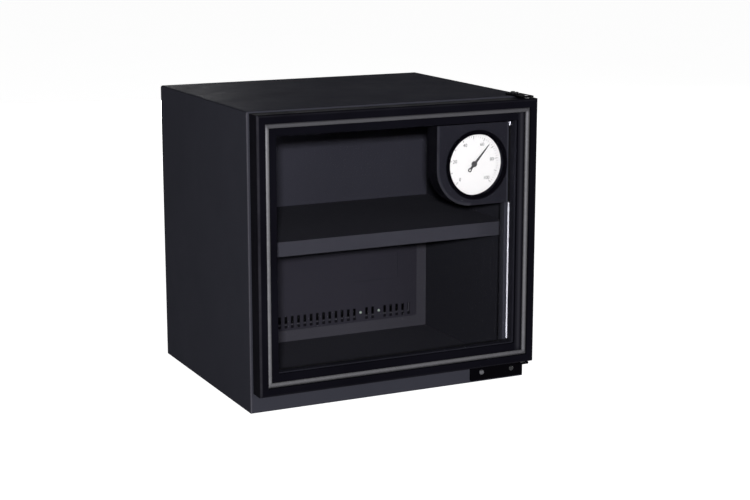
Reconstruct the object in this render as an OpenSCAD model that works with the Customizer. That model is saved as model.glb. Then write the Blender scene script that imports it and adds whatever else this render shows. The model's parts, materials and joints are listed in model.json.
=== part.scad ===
// Table-top camera dry cabinet: sheet-steel body, framed glass door hung at the
// right, one shelf, a slotted dry unit on the back wall and a dial hygrometer.
// X runs to the right, Y to the back and Z up. The origin is the middle of the
// footprint, on the surface the feet stand on.

/* [Body] */
// Width of the body
body_w = 330; // [300:1:380]
// Height of the body without its feet
body_h = 318; // [300:1:380]
// Depth of the body without the door
body_d = 264; // [240:1:320]
// Thickness of the steel sheet
sheet_t = 1; // [0.8:0.1:1.4]
// Outer bend radius along the top edges
edge_r = 2.4; // [2:0.1:5]
// Width of the front flange at the sides and the top
flange_w = 27; // [24:0.5:34]
// Height of the front rail under the opening
rail_h = 39; // [37:0.5:50]
// Depth of the lips turned in round the opening
lip_d = 9; // [6:0.5:12]
// Depth of the returns that join the front frame to the wrap
return_d = 10; // [6:0.5:14]
// Width of the hem at the back of the wrap
hem_w = 12; // [10:0.5:16]
// Height of the floor sheet above the lower edge of the body
floor_rise = 4; // [3:0.5:8]
// Depth of the chamber between the inner back wall and the back
chamber_d = 31; // [30:0.5:40]
// Depth of the flanges round the inner back wall
wall_flange_d = 10; // [6:0.5:14]

/* [Feet] */
// Radius of a rubber foot
foot_r = 10; // [8:0.5:14]
// How far a foot stands out under the body
foot_proud = 2; // [1.5:0.1:5]
// Distance from a foot's axis to the sides, front and back of the body
foot_inset = 26; // [20:1:40]
// Rounding of a foot's lower edge
foot_edge_r = 1.4; // [0.5:0.1:1.5]
// Depth of the recess for the foot's screw
foot_recess_d = 3; // [2.5:0.1:3.5]

/* [Shelf] */
// Height of the shelf's top above the lower edge of the body
shelf_z = 171; // [165:1:185]
// Distance of the shelf's front from the front of the body
shelf_inset = 41; // [30:1:60]
// Height of the shelf's front flange
shelf_flange_h = 15.8; // [10:0.1:20]
// Depth of the hem under the shelf's front flange
shelf_hem_d = 6; // [4:0.5:10]
// Width of each leg of the shelf's side rails
rail_leg = 12; // [8:0.5:16]
// Distance from a side rail's back end to the inner back wall
rail_back_gap = 6; // [2:0.5:20]

/* [Door] */
// Thickness of the door frame
door_t = 20; // [18:0.5:26]
// Gap between the door frame and the body, filled by the gasket
door_gap = 5.3; // [5.2:0.1:8]
// How far the door stays inside the body's outline at each side
door_side_inset = 1; // [0.5:0.1:3]
// How far the door's top lies under the top of the body
door_top_inset = 1; // [0.9:0.1:4]
// Height of the door's lower edge above the lower edge of the body
door_bottom_z = 23; // [22.8:0.1:28]
// Width of the raised rim round the door
rim_w = 9.1; // [7:0.1:10]
// Rounding of the door's outer front edges
rim_r = 3.2; // [1:0.1:4]
// Depth of the groove for the trim, from the door's front
groove_d = 4; // [3.6:0.1:6]
// Width of the silver trim
trim_w = 5; // [3:0.1:6]
// Depth of the trim's crown, from the door's front
trim_crown_d = 1.3; // [1:0.1:2.2]
// Height of the trim's side walls over the bottom of its groove
trim_side_h = 1.2; // [0.5:0.1:1.2]
// Hairline joint between the mitred ends of two strips of trim, along the strip
trim_joint = 0.1; // [0.05:0.05:0.3]
// Width of the inner lip between the trim and the glass
inner_lip_w = 8.4; // [6:0.1:10]
// Depth of the inner lip's face, from the door's front
inner_lip_d = 4.5; // [3:0.1:5]
// Depth of the glass seat, from the door's front
seat_d = 7.2; // [7:0.1:9]
// Thickness of the glass
glass_t = 4; // [3:0.5:5]
// Width of the frame behind the glass seat
back_leg_w = 13; // [12.8:0.1:14]
// Gap between the glass edge and the frame
glass_edge_gap = 0.5; // [0.3:0.1:1]

/* [Gasket] */
// Distance of the gasket from the door's outer edge
gasket_inset = 10.5; // [10:0.1:12]
// Width of the gasket
gasket_w = 12; // [6:0.1:12.4]
// Gap between the gasket and the body's front
gasket_gap = 0.3; // [0.2:0.1:0.5]
// Rounding of the gasket's rear edges
gasket_r = 1.3; // [0.4:0.1:1.4]
// Width of the magnet strip in the gasket
magnet_w = 4.6; // [3:0.1:5]
// Thickness of the magnet strip
magnet_t = 1.6; // [1:0.1:2]
// Wall of the gasket in front of the magnet strip
gasket_wall = 1.1; // [0.8:0.1:1.4]
// Gap round the magnet strip in its pocket
magnet_gap = 0.2; // [0.1:0.05:0.4]

/* [Hinges] */
// Distance of the hinge axis from the door's right edge
axis_inset = 9; // [9:0.1:10]
// Distance of the hinge axis in front of the door frame's rear face
axis_rear = 9; // [8.6:0.1:10]
// Radius of the hinge pins
pin_r = 2; // [1.5:0.1:2.2]
// Running clearance between a hinge pin and its bush
pin_fit = 0.05; // [0.02:0.01:0.09]
// Outer radius of a hinge bush
bush_r = 3.6; // [3:0.1:3.7]
// Length of a hinge bush
bush_l = 12; // [8:0.5:16]
// Radius of the collar on a hinge pin
collar_r = 4; // [3:0.1:5]
// Gap between a collar and the door
collar_gap = 0.4; // [0.3:0.1:0.6]
// Thickness of the hinge plates
plate_t = 1.6; // [1.2:0.1:1.8]
// Width of the top hinge plate
top_plate_w = 16; // [13.5:0.5:26]
// Length of the top hinge plate that lies on the body
top_plate_l = 16; // [14:0.5:30]
// How far the hinge plates reach past the axis
plate_reach = 6.6; // [6:0.1:8]
// Rounding of the hinge plates' free corners
plate_r = 3; // [1:0.1:5]
// Width of the bottom hinge plate on the front rail
bottom_plate_w = 67; // [50:1:90]
// Height of the bottom hinge plate on the front rail
bottom_plate_h = 19.4; // [16:0.1:19.6]
// Gap between the bottom plate's tab and the door
tab_gap = 2; // [1.6:0.1:4]
// Distance of the left screw from the bottom plate's left end
bottom_screw_a = 14; // [8:1:20]
// Distance of the right screw from the bottom plate's right end
bottom_screw_b = 15; // [8:1:20]
// Height of the bottom hinge screws above the lower edge of the body
bottom_screw_z = 11; // [9:0.5:14]

/* [Hygrometer] */
// Width of the hygrometer housing
gauge_w = 86; // [80:1:100]
// Height of the hygrometer housing
gauge_h = 89; // [80:1:100]
// Distance of the dial's axis from the housing's right edge
dial_dx = 37; // [36.5:0.5:45]
// Distance of the dial's axis from the housing's upper edge
dial_dz = 45; // [38:0.5:50]
// Rounding of the housing's lower left corner
gauge_corner_r = 42; // [10:1:44]
// How far the housing stands out of the body's front
gauge_proud = 4; // [2:0.1:4.5]
// Depth of the housing
gauge_depth = 22; // [21.5:0.5:30]
// Wall of the housing
gauge_wall = 2.5; // [2:0.1:3]
// Radius of the dial that can be seen
dial_r = 33.5; // [30:0.5:34]
// Width of the bevel round the dial opening
dial_bevel = 1.2; // [0.5:0.1:1.5]
// Width of the raised ring round the dial
bezel_w = 3.3; // [2:0.1:3.4]
// Height of that ring over the housing's face
bezel_h = 1.5; // [0.5:0.1:2.5]
// Thickness of the gauge window
window_t = 1.5; // [1:0.1:2]
// How far the gauge window reaches under its plate
window_grip = 1.2; // [1:0.1:1.2]
// Depth from the window's rear to the dial
dial_depth = 4; // [3.6:0.1:6]
// Thickness of the dial disc
dial_t = 1; // [0.6:0.1:1.5]
// Length of the pointer from its axis to its tip
needle_l = 27.4; // [24:0.1:29]
// Distance from the pointer's axis to its tail ring
tail_l = 8.4; // [7:0.1:11]
// Outer radius of the pointer's tail ring
tail_r = 2.2; // [1.5:0.1:3]
// Width of the pointer at its axis
needle_w = 2.6; // [1.5:0.1:3.5]
// Thickness of the pointer
needle_t = 0.6; // [0.4:0.1:1]
// Radius of the pointer's hub
hub_r = 3.2; // [2.6:0.1:5]
// Radius of the pointer's spindle
spindle_r = 0.9; // [0.6:0.1:1.2]
// Angle of the pointer at rest, clockwise from straight up
needle_rest = 41.6; // [-120:0.1:120]

/* [Dry unit] */
// Width of the dry unit's cover
cover_w = 284; // [240:1:300]
// Height of the cover's lower edge above the lower edge of the body
cover_z0 = 23.7; // [20:0.1:30]
// Height of the cover
cover_h = 125; // [116:1:130]
// How far the cover stands out of the inner back wall
cover_rise = 17; // [16:0.5:22]
// Thickness of the cover
cover_t = 1.2; // [1:0.1:2]
// Rounding of the cover's corners
cover_r = 3; // [1.5:0.1:6]
// Distance between two slots
slot_pitch = 8.2; // [6:0.1:12]
// Width of a slot
slot_w = 3.8; // [2:0.1:4.4]
// Height of a slot
slot_h = 14.6; // [8:0.1:20]
// Distance of the slots from the cover's lower edge
slot_z = 2.4; // [2:0.1:8]
// Distance of the first slot from the cover's side
slot_side = 8; // [6:0.5:16]
// Width of the shallow panel in the cover
panel_w = 60; // [30:1:80]
// Height of the shallow panel in the cover
panel_h = 32; // [20:1:36]
// Depth of the shallow panel in the cover
panel_d = 0.5; // [0.2:0.1:0.6]
// Distance of the shallow panel from the cover's right side
panel_side = 26; // [16:1:60]
// Distance of the shallow panel from the cover's lower edge
panel_z = 50; // [30:1:60]
// Radius of an indicator lamp
lamp_r = 1.6; // [1:0.1:1.8]
// Width of the case of the dry unit
case_w = 110; // [100:1:130]
// Height of the case of the dry unit
case_h = 96; // [94:1:98]
// Distance of the case from the cover's lower edge
case_z = 10; // [6:0.5:12]
// Wall of the case
case_t = 2; // [1.5:0.1:2.4]
// How far the case stands out of the inner back wall
case_out = 12; // [10:0.5:13]
// Height of a shutter's air slot
port_h = 14; // [10:0.5:15]
// Distance of the air slots from the case's ends
port_z = 8; // [7:0.5:10]
// Radius of a shutter's pivot rod
rod_r = 1.5; // [1:0.1:1.8]
// Running clearance of a shutter's pivot rod
rod_fit = 0.05; // [0.02:0.01:0.09]
// Thickness of a shutter flap
flap_t = 1.2; // [0.8:0.1:1.6]
// Lap of a shutter flap over its air slot, above and below
flap_lap = 2; // [1.5:0.1:2.4]
// Gap between a shutter flap and the wall it closes
flap_gap = 0.4; // [0.3:0.1:0.6]
// Opening angle of the inner shutter at rest
shutter_open = 45; // [30:1:50]
// Thickness of the drying cartridge
cartridge_t = 14; // [10:0.5:15]
// Height of the drying cartridge
cartridge_h = 40; // [36:1:42]
// Width of the ledges that carry the cartridge
ledge_w = 5; // [3:0.5:8]
// Thickness of those ledges
ledge_t = 2; // [1.5:0.1:3]
// Thickness of the heater plate
heater_t = 2; // [1.5:0.1:3]

/* [Back] */
// Radius of the screws' threads
screw_r = 1.5; // [1:0.1:1.8]
// Radius of the screws' heads
head_r = 2.9; // [2.4:0.1:3.2]
// Height of the screws' heads
head_h = 2; // [1.4:0.1:2.4]
// Length of the screws under their heads
screw_l = 6; // [5:0.5:8]
// Clearance of a screw in its hole
screw_fit = 0.1; // [0.05:0.05:0.3]
// Width of the rear vent grille
grille_w = 104; // [80:1:106]
// Height of the rear vent grille
grille_h = 26; // [24:0.5:30]
// Height of one grille slot
grille_slot_h = 2.4; // [1.5:0.1:3]
// Number of rows of grille slots
grille_rows = 4; // [2:1:4]
// Number of columns of grille slots
grille_cols = 3; // [1:1:5]
// How far the grille stands out of the back
grille_proud = 1.5; // [1:0.1:2]
// Distance of the power inlet from the body's right side
inlet_side = 69; // [50:1:90]
// Height of the power inlet above the lower edge of the body
inlet_z = 34; // [28:1:38]
// Radius of the power inlet's barrel
inlet_r = 5.5; // [4.5:0.1:6]
// Radius of the power inlet's bore
inlet_bore_r = 3.1; // [2.5:0.1:3.6]
// Depth of the power inlet's bore
inlet_bore_d = 9; // [7:0.5:10]
// Radius of the contact pin in the inlet
inlet_pin_r = 1; // [0.6:0.1:1.2]
// Radius of the ring nut that holds the inlet
nut_r = 7.6; // [7:0.1:9]
// Thickness of the ring nut
nut_t = 1.5; // [1:0.1:1.8]

/* [Hidden] */
// The interpreter's facets on curves
$fn = 96;
// Overrun of every cut
cut = 1;
// Clearance between pieces that lie in each other
seat_gap = 0.2;
// Visible gap between pieces that can be lifted out
loose_gap = 0.7;

// Where the body lies
total_d = door_t + door_gap + body_d + head_h;
front_y = -total_d / 2 + door_t + door_gap;
rear_y = front_y + body_d;
base_z = foot_proud;
top_z = base_z + body_h;
inner_x = body_w / 2 - sheet_t;
floor_z = base_z + floor_rise + sheet_t;
wall_y = rear_y - chamber_d;

// The opening at the front
open_x = body_w / 2 - flange_w;
open_z0 = base_z + rail_h;
open_z1 = top_z - flange_w;

// The door
gasket_t = door_gap - gasket_gap;
door_x = body_w / 2 - door_side_inset;
door_z0 = base_z + door_bottom_z;
door_z1 = top_z - door_top_inset;
door_y = front_y - door_gap - door_t;
door_back_y = front_y - door_gap;
bar_w = rim_w + trim_w + inner_lip_w;
glass_inset = back_leg_w + glass_edge_gap;
axis_x = door_x - axis_inset;
axis_y = door_back_y - axis_rear;
bush_floor = 0.5;

// The hygrometer
gauge_x1 = open_x - seat_gap;
gauge_x0 = gauge_x1 - gauge_w;
gauge_z1 = open_z1 - seat_gap;
gauge_z0 = gauge_z1 - gauge_h;
gauge_y = front_y - gauge_proud;
dial_x = gauge_x1 - dial_dx;
dial_z = gauge_z1 - dial_dz;
window_y = gauge_y + gauge_wall;
dial_y = window_y + window_t + dial_depth;
case_ring_r = dial_r + window_grip + seat_gap + gauge_wall / 2;
gauge_step = gauge_wall / 2;
gauge_cup_y = gauge_y + gauge_depth;
needle_y = window_y + window_t + dial_depth / 2 - needle_t;
spindle_hole_r = 2 * spindle_r;

// The dry unit
cover_z = base_z + cover_z0;
cover_y = wall_y - cover_rise;
case_z0 = cover_z + case_z;
case_z1 = case_z0 + case_h;
case_y0 = wall_y - case_out;
case_y1 = rear_y - sheet_t;
case_in_x = case_w / 2 - case_t;
rod_gap = rod_r + flap_gap;
flap_h = port_h + 2 * flap_lap + rod_r;
inner_port_z1 = case_z1 - port_z;
inner_port_z0 = inner_port_z1 - port_h;
outer_port_z0 = case_z0 + port_z;
outer_port_z1 = outer_port_z0 + port_h;
inner_rod_y = case_y0 + case_t + rod_gap;
inner_rod_z = inner_port_z1 + flap_lap;
outer_rod_y = case_y1 - case_t - rod_gap;
outer_rod_z = outer_port_z1 + flap_lap;
rod_x = case_w / 2 - case_t / 4;
flap_x = case_in_x - loose_gap;
cartridge_z = outer_rod_z + rod_r + ledge_t + flap_gap;
cartridge_y = wall_y + sheet_t + loose_gap;
ear_w = 4 * head_r;
ear_z_shares = [0.3, 0.7];
slot_n = floor((cover_w - 2 * slot_side) / slot_pitch) + 1;
lamp_slots = [24, 27];
lamp_z_share = 0.62;

// The circuit board behind the inner back wall
board_w = 58;
board_h = 62;
board_t = 1.6;
board_post_h = 6;
board_post_r = 2.5;
board_inset = 4;
board_gap = 8;
board_x = case_w / 2 + board_gap;
board_z = case_z0 + board_gap;
board_y = wall_y + sheet_t + board_post_h;
plug_w = 10;
plug_d = 8;
plug_h = 7;
wire_r = 0.8;
wire_bend_r = 3;
wire_pitch = 4;

// The power inlet
inlet_x = body_w / 2 - inlet_side;
inlet_l = 14;
inlet_y = rear_y - sheet_t - inlet_l;

// Places of the fasteners, as shares of the sides they lie along
side_screw_shares = [0.12, 0.5, 0.88];
top_plate_shares = [0.28, 0.74];
top_screw_shares = [0.2, 0.8];

// A box given by its two far corners
module block(x0, x1, y0, y1, z0, z1) {
    translate([x0, y0, z0]) cube([x1 - x0, y1 - y0, z1 - z0]);
}

// A rod along X, along Y or upright
module rod_x(r, x0, x1, y, z) {
    translate([x0, y, z]) rotate([0, 90, 0]) cylinder(r = r, h = x1 - x0);
}
module rod_y(r, x, y0, y1, z) {
    translate([x, y0, z]) rotate([-90, 0, 0]) cylinder(r = r, h = y1 - y0);
}
module rod_z(r, x, y, z0, z1) {
    translate([x, y, z0]) cylinder(r = r, h = z1 - z0);
}

// A flat outline drawn as it is seen from the front, with its depth from y0 to y1
module slab(y0, y1) {
    translate([0, y1, 0]) rotate([90, 0, 0]) linear_extrude(height = y1 - y0) children();
}

// A rectangle with its two upper corners rounded
module arch(x, z0, z1, r) {
    translate([-x, z0]) square([2 * x, z1 - z0 - r]);
    translate([-x + r, z0]) square([2 * (x - r), z1 - z0]);
    for (s = [-1, 1]) translate([s * (x - r), z1 - r]) circle(r = r);
}

// A rectangle with all its corners rounded
module rounded(x0, x1, z0, z1, r) {
    translate([x0, z0 + r]) square([x1 - x0, z1 - z0 - 2 * r]);
    translate([x0 + r, z0]) square([x1 - x0 - 2 * r, z1 - z0]);
    for (x = [x0 + r, x1 - r], z = [z0 + r, z1 - r]) translate([x, z]) circle(r = r);
}

module frame_rect(x, z0, z1) {
    translate([-x, z0]) square([2 * x, z1 - z0]);
}

// A pan-head screw along +Z with its head's underside at the origin
module screw(l) {
    rotate_extrude() polygon([[0, -head_h], [head_r * 0.7, -head_h], [head_r, -head_h * 0.55],
        [head_r, 0], [screw_r, 0], [screw_r, l - screw_r / 2], [screw_r / 2, l], [0, l]]);
}

// Places of the screws of the back panel
function back_screws() = concat(
    [for (s = [-1, 1], q = side_screw_shares) [s * (body_w / 2 - sheet_t - hem_w / 2), base_z + q * body_h]],
    [for (q = top_screw_shares) [-body_w / 2 + q * body_w, top_z - sheet_t - hem_w / 2]],
    [for (q = top_screw_shares) [-body_w / 2 + q * body_w, floor_z + hem_w / 2]]);

module back_screw_holes(y0, y1) {
    for (p = back_screws()) rod_y(screw_r + screw_fit, p[0], y0, y1, p[1]);
}

// Body

module outer_shell() {
    color([0.16, 0.16, 0.18]) difference() {
        union() {
            slab(front_y + sheet_t, rear_y - sheet_t) difference() {
                arch(body_w / 2, base_z, top_z, edge_r);
                arch(inner_x, base_z - cut, top_z - sheet_t, edge_r - sheet_t);
            }
            slab(rear_y - 2 * sheet_t, rear_y - sheet_t) difference() {
                arch(inner_x, base_z, top_z - sheet_t, edge_r - sheet_t);
                frame_rect(inner_x - hem_w, base_z - cut, top_z - sheet_t - hem_w);
            }
        }
        back_screw_holes(rear_y - 2 * sheet_t - cut, rear_y);
        for (p = top_plate_screws()) rod_z(screw_r + screw_fit, p[0], p[1], top_z - sheet_t - cut, top_z + cut);
    }
}

module front_frame() {
    return_z = floor_z + seat_gap;
    color([0.2, 0.2, 0.23]) difference() {
        union() {
            slab(front_y, front_y + sheet_t) difference() {
                arch(body_w / 2, base_z, top_z, edge_r);
                frame_rect(open_x, open_z0, open_z1);
            }
            slab(front_y, front_y + lip_d) difference() {
                frame_rect(open_x + sheet_t, open_z0 - sheet_t, open_z1 + sheet_t);
                frame_rect(open_x, open_z0, open_z1);
            }
            slab(front_y + sheet_t, front_y + return_d) difference() {
                arch(inner_x, return_z, top_z - sheet_t, edge_r - sheet_t);
                frame_rect(inner_x - sheet_t, return_z - cut, top_z - 2 * sheet_t);
            }
        }
        for (p = bottom_plate_screws()) rod_y(screw_r + screw_fit, p[0], front_y - cut, front_y + sheet_t + cut, p[1]);
        for (p = top_plate_screws()) rod_z(screw_r + screw_fit, p[0], p[1], top_z - 3 * sheet_t, top_z);
    }
}

module base_panel() {
    y0 = front_y + sheet_t;
    y1 = rear_y - 2 * sheet_t;
    color([0.13, 0.13, 0.15]) difference() {
        union() {
            difference() {
                block(-inner_x, inner_x, y0, y1, base_z, floor_z);
                block(-inner_x + sheet_t, inner_x - sheet_t, y0 + sheet_t, y1 - sheet_t, base_z - cut, floor_z - sheet_t);
            }
            block(-inner_x + hem_w, inner_x - hem_w, y1 - sheet_t, y1, base_z, floor_z + hem_w);
        }
        for (p = foot_places()) rod_z(screw_r + screw_fit, p[0], p[1], base_z, floor_z + cut);
        back_screw_holes(y1 - 2 * sheet_t, y1 + cut);
    }
}

module inner_back_panel() {
    x = inner_x - seat_gap;
    z1 = top_z - sheet_t - seat_gap;
    color([0.15, 0.15, 0.17]) difference() {
        union() {
            difference() {
                slab(wall_y, wall_y + wall_flange_d) arch(x, floor_z, z1, edge_r - sheet_t);
                block(-x + sheet_t, x - sheet_t, wall_y + sheet_t, wall_y + wall_flange_d + cut, floor_z + sheet_t, z1 - sheet_t);
            }
            for (p = board_posts()) rod_y(board_post_r, p[0], wall_y, board_y, p[1]);
        }
        block(-case_w / 2 - seat_gap, case_w / 2 + seat_gap, wall_y - cut, wall_y + sheet_t + cut,
            case_z0 - seat_gap, case_z1 + seat_gap);
        for (p = ear_screws()) rod_y(screw_r + screw_fit, p[0], wall_y - cut, wall_y + sheet_t + cut, p[1]);
        for (p = foot_places()) rod_z(screw_r + screw_fit, p[0], p[1], floor_z - cut, floor_z + sheet_t + cut);
    }
}

module back_panel() {
    color([0.14, 0.14, 0.16]) difference() {
        slab(rear_y - sheet_t, rear_y) arch(body_w / 2, base_z, top_z, edge_r);
        back_screw_holes(rear_y - sheet_t - cut, rear_y + cut);
        rod_y(inlet_r + seat_gap, inlet_x, rear_y - sheet_t - cut, rear_y + cut, base_z + inlet_z);
        block(-grille_w / 2 + grille_lap(), grille_w / 2 - grille_lap(), rear_y - sheet_t - cut, rear_y + cut,
            grille_z() + grille_lap(), grille_z() + grille_h - grille_lap());
    }
}

module back_panel_screws() {
    color([0.55, 0.55, 0.57]) for (p = back_screws()) translate([p[0], rear_y, p[1]]) rotate([90, 0, 0]) screw(screw_l);
}

// Shelf

module shelf() {
    y0 = front_y + shelf_inset;
    z1 = base_z + shelf_z;
    x = inner_x - loose_gap;
    z0 = z1 - shelf_flange_h;
    color([0.2, 0.2, 0.23]) difference() {
        union() {
            block(-x, x, y0, wall_y - seat_gap, z1 - sheet_t, z1);
            difference() {
                block(-x, x, y0, y0 + shelf_hem_d, z0, z1);
                block(-x - cut, x + cut, y0 + sheet_t, y0 + shelf_hem_d + cut, z0 + sheet_t, z1 - sheet_t);
            }
        }
        // the hem stops short of the side rails
        for (s = [-1, 1]) block(min(s * (inner_x - rail_leg - loose_gap), s * (inner_x + cut)),
            max(s * (inner_x - rail_leg - loose_gap), s * (inner_x + cut)),
            y0 + sheet_t, y0 + shelf_hem_d + cut, z0 - cut, z1 - sheet_t);
    }
}

// One side rail, an angle bar that carries the shelf's edge
module shelf_rail(side) {
    y0 = front_y + shelf_inset + sheet_t + seat_gap;
    y1 = wall_y - rail_back_gap;
    z1 = base_z + shelf_z - sheet_t;
    xs = [side * (inner_x - rail_leg), side * inner_x];
    xw = [side * (inner_x - sheet_t), side * inner_x];
    block(min(xs), max(xs), y0, y1, z1 - sheet_t, z1);
    block(min(xw), max(xw), y0, y1, z1 - rail_leg, z1);
}

module shelf_rail_left() {
    color([0.18, 0.18, 0.2]) shelf_rail(-1);
}

module shelf_rail_right() {
    color([0.18, 0.18, 0.2]) shelf_rail(1);
}

// Feet

function foot_places() = [for (x = [-1, 1], y = [front_y + foot_inset, rear_y - foot_inset])
    [x * (body_w / 2 - foot_inset), y]];

module foot(n) {
    top = foot_proud + floor_rise;
    r = foot_edge_r;
    p = foot_places()[n];
    translate([p[0], p[1], 0]) difference() {
        rotate_extrude() difference() {
            union() {
                square([foot_r - r, top]);
                translate([0, r]) square([foot_r, top - r]);
                translate([foot_r - r, r]) circle(r = r);
            }
            translate([0, -cut]) square([head_r + loose_gap, foot_recess_d + cut]);
        }
        rod_z(screw_r + screw_fit, 0, 0, -cut, top + cut);
    }
}

module foot_front_left() {
    color([0.08, 0.08, 0.08]) foot(0);
}

module foot_front_right() {
    color([0.08, 0.08, 0.08]) foot(2);
}

module foot_back_left() {
    color([0.08, 0.08, 0.08]) foot(1);
}

module foot_back_right() {
    color([0.08, 0.08, 0.08]) foot(3);
}

module foot_screws() {
    color([0.6, 0.6, 0.62]) for (p = foot_places()) translate([p[0], p[1], foot_recess_d]) screw(screw_l);
}

// Door

// Section of one bar of the door frame: first the distance from the door's outer
// edge, then the depth from the door's front
module bar_section() {
    step_d = max(groove_d, inner_lip_d);
    translate([0, rim_r]) square([rim_r, door_t - rim_r]);
    translate([rim_r, 0]) square([rim_w - rim_r, door_t]);
    intersection() {
        translate([rim_r, rim_r]) circle(r = rim_r);
        square([rim_r, rim_r]);
    }
    translate([rim_w - cut, groove_d]) square([back_leg_w - rim_w + cut, door_t - groove_d]);
    translate([rim_w - cut, groove_d]) square([trim_w + cut, seat_d - groove_d]);
    translate([rim_w, step_d]) square([bar_w - rim_w, seat_d - step_d]);
    translate([rim_w + trim_w, inner_lip_d]) square([inner_lip_w, seat_d - inner_lip_d]);
}

// Section of the trim, with a crowned face
module trim_section() {
    rise = groove_d - trim_side_h - trim_crown_d;
    crown_r = (trim_w * trim_w / 4 + rise * rise) / (2 * rise);
    intersection() {
        translate([rim_w, trim_crown_d]) square([trim_w, groove_d - trim_crown_d]);
        union() {
            translate([rim_w + trim_w / 2, trim_crown_d + crown_r]) circle(r = crown_r);
            translate([rim_w, groove_d - trim_side_h]) square([trim_w, trim_side_h]);
        }
    }
}

// A flat ring inside the door's outline, from u0 to u1 in from its edge and from
// the depth d0 to d1
module door_ring(u0, u1, d0, d1) {
    slab(door_y + d0, door_y + d1) difference() {
        frame_rect(door_x - u0, door_z0 + u0, door_z1 - u0);
        frame_rect(door_x - u1, door_z0 + u1, door_z1 - u1);
    }
}

// A bar along one side of the door with mitred ends, each drawn back by the given
// amount; side 0 left, 1 right, 2 bottom, 3 top
module door_bar(side, back = 0) {
    w = 2 * door_x;
    h = door_z1 - door_z0;
    l = side < 2 ? h : w;
    m = l / 2 - back;
    translate([0, door_y, (door_z0 + door_z1) / 2]) rotate([0, [0, 180, -90, 90][side], 0])
        translate([side < 2 ? -door_x : -h / 2, 0, 0]) intersection() {
            translate([0, 0, -l / 2]) linear_extrude(height = l) children();
            rotate([90, 0, 0]) translate([0, 0, -2 * door_t]) linear_extrude(height = 4 * door_t)
                polygon([[0, -m], [0, m], [m, 0]]);
        }
}

// Blind holes for the hinge bushes, at both ends of the hinge axis
module bush_holes() {
    rod_z(bush_r, axis_x, axis_y, door_z0 - cut, door_z0 + bush_l + bush_floor);
    rod_z(bush_r, axis_x, axis_y, door_z1 - bush_l - bush_floor, door_z1 + cut);
}

module door_stile_left() {
    color([0.05, 0.05, 0.06]) door_bar(0) bar_section();
}

module door_stile_right() {
    color([0.05, 0.05, 0.06]) difference() {
        door_bar(1) bar_section();
        bush_holes();
    }
}

module door_rail_bottom() {
    color([0.05, 0.05, 0.06]) difference() {
        door_bar(2) bar_section();
        bush_holes();
    }
}

module door_rail_top() {
    color([0.05, 0.05, 0.06]) difference() {
        door_bar(3) bar_section();
        bush_holes();
    }
}

module door_trim() {
    color([0.7, 0.7, 0.72]) for (s = [0:3]) door_bar(s, trim_joint / 2) trim_section();
}

module glazing_bead() {
    color([0.06, 0.06, 0.07]) door_ring(back_leg_w, bar_w, seat_d + glass_t, door_t);
}

// Rounded rear edge of the gasket, its axis at u in from the door's edge
module gasket_edge(u) {
    y = door_back_y + gasket_t - gasket_r;
    xs = [-door_x + u, door_x - u];
    zs = [door_z0 + u, door_z1 - u];
    for (x = xs) rod_z(gasket_r, x, y, zs[0], zs[1]);
    for (z = zs) rod_x(gasket_r, xs[0], xs[1], y, z);
    for (x = xs, z = zs) translate([x, y, z]) sphere(r = gasket_r);
}

module door_gasket() {
    u1 = gasket_inset + gasket_w;
    p0 = gasket_inset + gasket_w / 2 - magnet_w / 2 - magnet_gap;
    p1 = p0 + magnet_w + 2 * magnet_gap;
    color([0.09, 0.09, 0.1]) difference() {
        union() {
            door_ring(gasket_inset, u1, door_t, door_t + gasket_t - gasket_r);
            door_ring(gasket_inset + gasket_r, u1 - gasket_r, door_t, door_t + gasket_t);
            gasket_edge(gasket_inset + gasket_r);
            gasket_edge(u1 - gasket_r);
        }
        door_ring(p0, p1, door_t + gasket_wall, door_t + gasket_wall + magnet_t + 2 * magnet_gap);
    }
}

// Four strips, the side ones running past the ends of the other two
module gasket_magnets() {
    u0 = gasket_inset + gasket_w / 2 - magnet_w / 2;
    u1 = u0 + magnet_w;
    y0 = door_back_y + gasket_wall + magnet_gap;
    y1 = y0 + magnet_t;
    color([0.25, 0.22, 0.2]) {
        for (x = [-door_x + u0, door_x - u1]) block(x, x + magnet_w, y0, y1, door_z0 + u0, door_z1 - u0);
        for (z = [door_z0 + u0, door_z1 - u1])
            block(-door_x + u1 + magnet_gap, door_x - u1 - magnet_gap, y0, y1, z, z + magnet_w);
    }
}

module door_glass() {
    x = door_x - glass_inset;
    color([0.75, 0.85, 0.85, 0.3]) block(-x, x, door_y + seat_d, door_y + seat_d + glass_t,
        door_z0 + glass_inset, door_z1 - glass_inset);
}

// Hinges

function top_plate_screws() = [for (q = top_plate_shares) [axis_x - top_plate_w / 2 + plate_reach, front_y + q * top_plate_l]];
function bottom_plate_screws() = [
    [door_x - bottom_plate_w + bottom_screw_a, base_z + bottom_screw_z],
    [door_x - bottom_screw_b, base_z + bottom_screw_z]];
tab_z1 = door_z0 - tab_gap;

module hinge_plate_top() {
    x1 = axis_x + plate_reach;
    x0 = x1 - top_plate_w;
    y0 = axis_y - plate_reach;
    y1 = front_y + top_plate_l;
    color([0.07, 0.07, 0.08]) difference() {
        translate([0, 0, top_z]) linear_extrude(height = plate_t) rounded(x0, x1, y0, y1, plate_r);
        for (p = top_plate_screws()) rod_z(screw_r + screw_fit, p[0], p[1], top_z - cut, top_z + plate_t + cut);
        rod_z(pin_r + pin_fit, axis_x, axis_y, top_z - cut, top_z + plate_t + cut);
    }
}

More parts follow.
